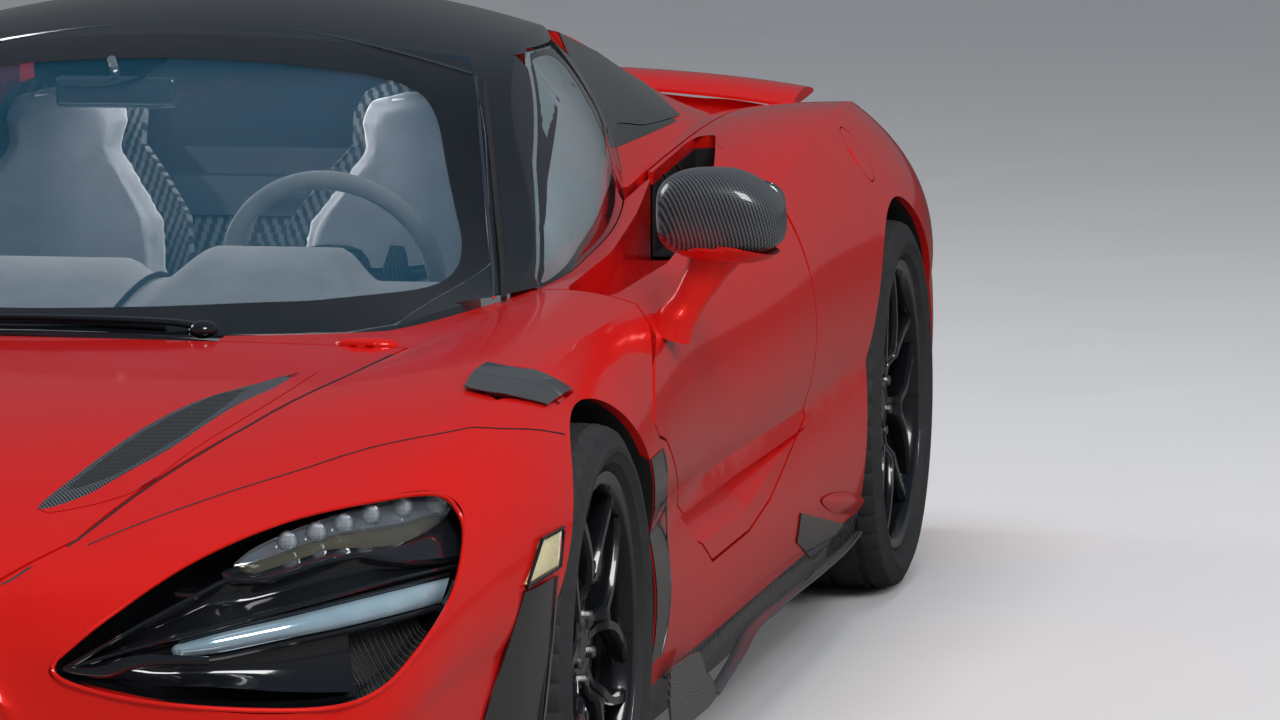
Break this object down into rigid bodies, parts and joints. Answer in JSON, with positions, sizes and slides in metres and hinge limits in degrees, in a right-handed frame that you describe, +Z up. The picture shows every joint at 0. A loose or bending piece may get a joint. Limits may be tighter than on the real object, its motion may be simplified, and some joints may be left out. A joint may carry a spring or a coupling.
{
  "type": "mid-engined supercar with folding hard top",
  "caption": "Low two-seat supercar: teardrop lamp sockets, channelled doors hinged along the screen pillars, glazed rear fins, lifting tail wing.",
  "frame": {"origin": "on the ground, under the middle of the overall length and width", "axes": "+X forwards to the nose, +Y to the car's left, +Z up"},
  "size_m": [4.6, 2.16, 1.1935],
  "materials": {
    "tyre": "matte",
    "wheel_black": "gloss",
    "glass": "gloss",
    "paint_red": "gloss",
    "roof_black": "gloss",
    "lamp_black": "gloss",
    "lamp_red": "gloss",
    "carbon": "woven",
    "trim_black": "satin",
    "dash_fabric": "suede",
    "seat_fabric": "suede",
    "leather_black": "satin",
    "alloy": "satin",
    "exhaust_steel": "satin"
  },
  "bodies": {
    "chassis": {"arch_liners": "trim_black", "dashboard": "dash_fabric", "diffuser": "carbon", "engine": "alloy", "exhaust": "exhaust_steel", "front_bumper": "paint_red", "front_grille": "trim_black", "front_splitter": "carbon", "front_suspension": "alloy", "front_wing_left": "paint_red", "front_wing_right": "paint_red", "headlamp_left": "lamp_black", "headlamp_right": "lamp_black", "rear_deck": "paint_red", "rear_fascia": "paint_red", "rear_mesh": "trim_black", "rear_quarter_left": "paint_red", "rear_quarter_right": "paint_red", "rear_suspension": "alloy", "rear_window": "glass", "roll_hoops": "roof_black", "roof_panel": "roof_black", "screen_frame": "roof_black", "seats": "seat_fabric", "side_ducts": "trim_black", "side_skirts": "carbon", "tail_lamps": "lamp_red", "tub": "carbon", "undertray": "trim_black", "windscreen": "glass"},
    "bonnet": {"bonnet": "paint_red"},
    "door_left": {"door_left": "paint_red", "door_glass_left": "glass", "mirror_left": "paint_red"},
    "door_right": {"door_right": "paint_red", "door_glass_right": "glass", "mirror_right": "paint_red"},
    "tonneau": {"tonneau_cover": "paint_red", "buttress_glass": "glass"},
    "rear_wing": {"rear_wing": "paint_red"},
    "fuel_flap": {"fuel_flap": "paint_red"},
    "steering_wheel": {"steering_wheel": "leather_black"},
    "knuckle_left": {"knuckle_left": "alloy"},
    "knuckle_right": {"knuckle_right": "alloy"},
    "wheel_fl": {"wheel_fl": "wheel_black", "tyre_fl": "tyre"},
    "wheel_fr": {"wheel_fr": "wheel_black", "tyre_fr": "tyre"},
    "wheel_rl": {"wheel_rl": "wheel_black", "tyre_rl": "tyre"},
    "wheel_rr": {"wheel_rr": "wheel_black", "tyre_rr": "tyre"}
  },
  "joints": [
    {"name": "bonnet_hinge", "type": "hinge", "parent": "chassis", "child": "bonnet", "pos_m": [1.121, 0, 0.757], "axis": [0, -1, 0], "range_deg": [0, 60]},
    {"name": "door_left_hinge", "type": "hinge", "parent": "chassis", "child": "door_left", "pos_m": [0.8, 0.86, 0.775], "axis": [0.8561, 0.3336, -0.3947], "range_deg": [0, 70]},
    {"name": "door_right_hinge", "type": "hinge", "parent": "chassis", "child": "door_right", "pos_m": [0.8, -0.86, 0.775], "axis": [-0.8561, 0.3336, 0.3947], "range_deg": [0, 70]},
    {"name": "tonneau_hinge", "type": "hinge", "parent": "chassis", "child": "tonneau", "pos_m": [-1.509, 0, 0.885], "axis": [0, -1, 0], "range_deg": [0, 40]},
    {"name": "wing_lift", "type": "slide", "parent": "chassis", "child": "rear_wing", "axis": [0, 0, 1], "range_m": [0, 0.06]},
    {"name": "fuel_flap_hinge", "type": "hinge", "parent": "chassis", "child": "fuel_flap", "pos_m": [-1.2858, 0.88765, 0.82654], "axis": [0, 0.5101, -0.8601], "range_deg": [0, 80]},
    {"name": "steering_spin", "type": "hinge", "parent": "chassis", "child": "steering_wheel", "pos_m": [0.3, 0.31, 0.765], "axis": [-0.9397, 0, 0.342], "range_deg": [-364, 364]},
    {"name": "steer_left", "type": "hinge", "parent": "chassis", "child": "knuckle_left", "pos_m": [1.187, 0.81, 0.327], "axis": [0, 0, 1], "range_deg": [-28, 28]},
    {"name": "steer_right", "type": "hinge", "parent": "chassis", "child": "knuckle_right", "pos_m": [1.187, -0.81, 0.327], "axis": [0, 0, 1], "range_deg": [-28, 28]},
    {"name": "spin_fl", "type": "hinge", "parent": "knuckle_left", "child": "wheel_fl", "pos_m": [1.187, 0.828, 0.327], "axis": [0, 1, 0], "continuous": true},
    {"name": "spin_fr", "type": "hinge", "parent": "knuckle_right", "child": "wheel_fr", "pos_m": [1.187, -0.828, 0.327], "axis": [0, 1, 0], "continuous": true},
    {"name": "spin_rl", "type": "hinge", "parent": "chassis", "child": "wheel_rl", "pos_m": [-1.483, 0.806, 0.3455], "axis": [0, 1, 0], "continuous": true},
    {"name": "spin_rr", "type": "hinge", "parent": "chassis", "child": "wheel_rr", "pos_m": [-1.483, -0.806, 0.3455], "axis": [0, 1, 0], "continuous": true}
  ],
  "couplings": [
    {"joint": "steer_right", "follows": "steer_left", "ratio": 1},
    {"joint": "steering_spin", "follows": "steer_left", "ratio": 13}
  ]
}
